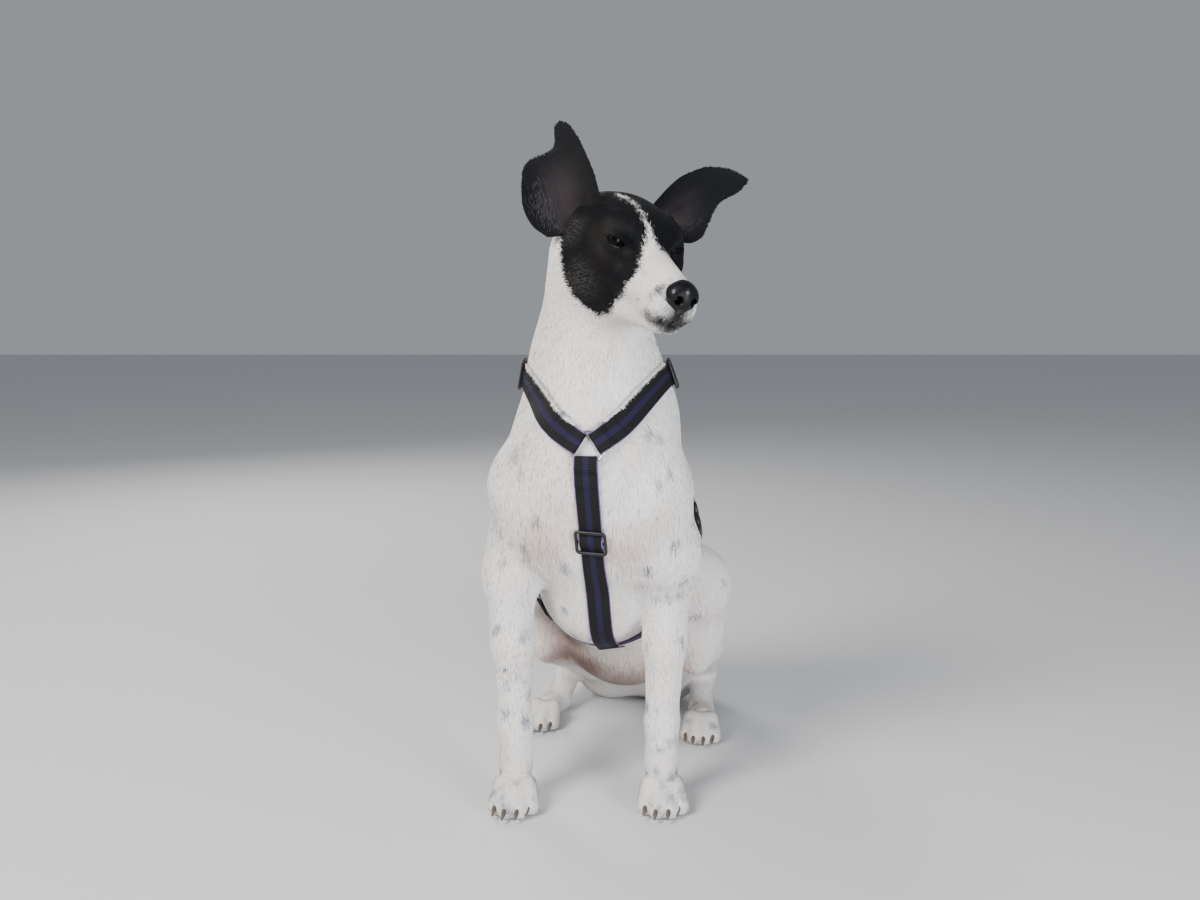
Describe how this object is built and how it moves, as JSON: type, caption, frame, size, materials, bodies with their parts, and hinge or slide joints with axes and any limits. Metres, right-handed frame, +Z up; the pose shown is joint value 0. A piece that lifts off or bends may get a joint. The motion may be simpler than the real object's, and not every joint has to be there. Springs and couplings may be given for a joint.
{
  "type": "dog, sitting, life-size model",
  "caption": "Life-size still model of a sitting short-coated white and black dog with one ear up and one turned out, wearing a webbing walking harness.",
  "frame": {"origin": "on the ground, under the centre of the bounding box", "axes": "+Z up; the dog's chest faces -Y with its rump swung a little towards +X; +X is to the dog's left"},
  "size_m": [0.283, 0.6602, 0.6994],
  "materials": {
    "white_coat": "short white coat with blue-grey ticking, lying flat",
    "black_coat": "short black coat with a narrow white blaze and white muzzle",
    "nose_leather": "moist black pebbled nose skin",
    "eye": "wet dark brown eye",
    "claw_horn": "dull grey-brown horn",
    "webbing": "black cross-ribbed woven webbing with a purple stripe and edges",
    "black_plastic": "satin moulded plastic",
    "ring_steel": "polished welded steel wire"
  },
  "bodies": {
    "root": {"neck": "white_coat", "trunk": "white_coat", "tail": "white_coat", "foreleg_left": "white_coat", "forepaw_left": "white_coat", "hindleg_left": "white_coat", "hindpaw_left": "white_coat", "foreleg_right": "white_coat", "forepaw_right": "white_coat", "hindleg_right": "white_coat", "hindpaw_right": "white_coat", "head": "black_coat", "ear_left": "black_coat", "ear_right": "black_coat", "nose": "nose_leather", "eye_left": "eye", "eye_right": "eye", "claw_forepaw_left_1": "claw_horn", "claw_forepaw_left_2": "claw_horn", "claw_forepaw_left_3": "claw_horn", "claw_forepaw_left_4": "claw_horn", "claw_forepaw_right_1": "claw_horn", "claw_forepaw_right_2": "claw_horn", "claw_forepaw_right_3": "claw_horn", "claw_forepaw_right_4": "claw_horn", "claw_hindpaw_left_1": "claw_horn", "claw_hindpaw_left_2": "claw_horn", "claw_hindpaw_left_3": "claw_horn", "claw_hindpaw_left_4": "claw_horn", "claw_hindpaw_right_1": "claw_horn", "claw_hindpaw_right_2": "claw_horn", "claw_hindpaw_right_3": "claw_horn", "claw_hindpaw_right_4": "claw_horn", "collar_left": "webbing", "collar_right": "webbing", "girth_band": "webbing", "chest_band": "webbing", "back_band": "webbing", "slider_collar_left": "black_plastic", "slider_collar_right": "black_plastic", "slider_chest": "black_plastic", "slider_girth": "black_plastic", "buckle_girth": "black_plastic", "ring_front": "ring_steel", "ring_withers": "ring_steel"}
  },
  "joints": []
}
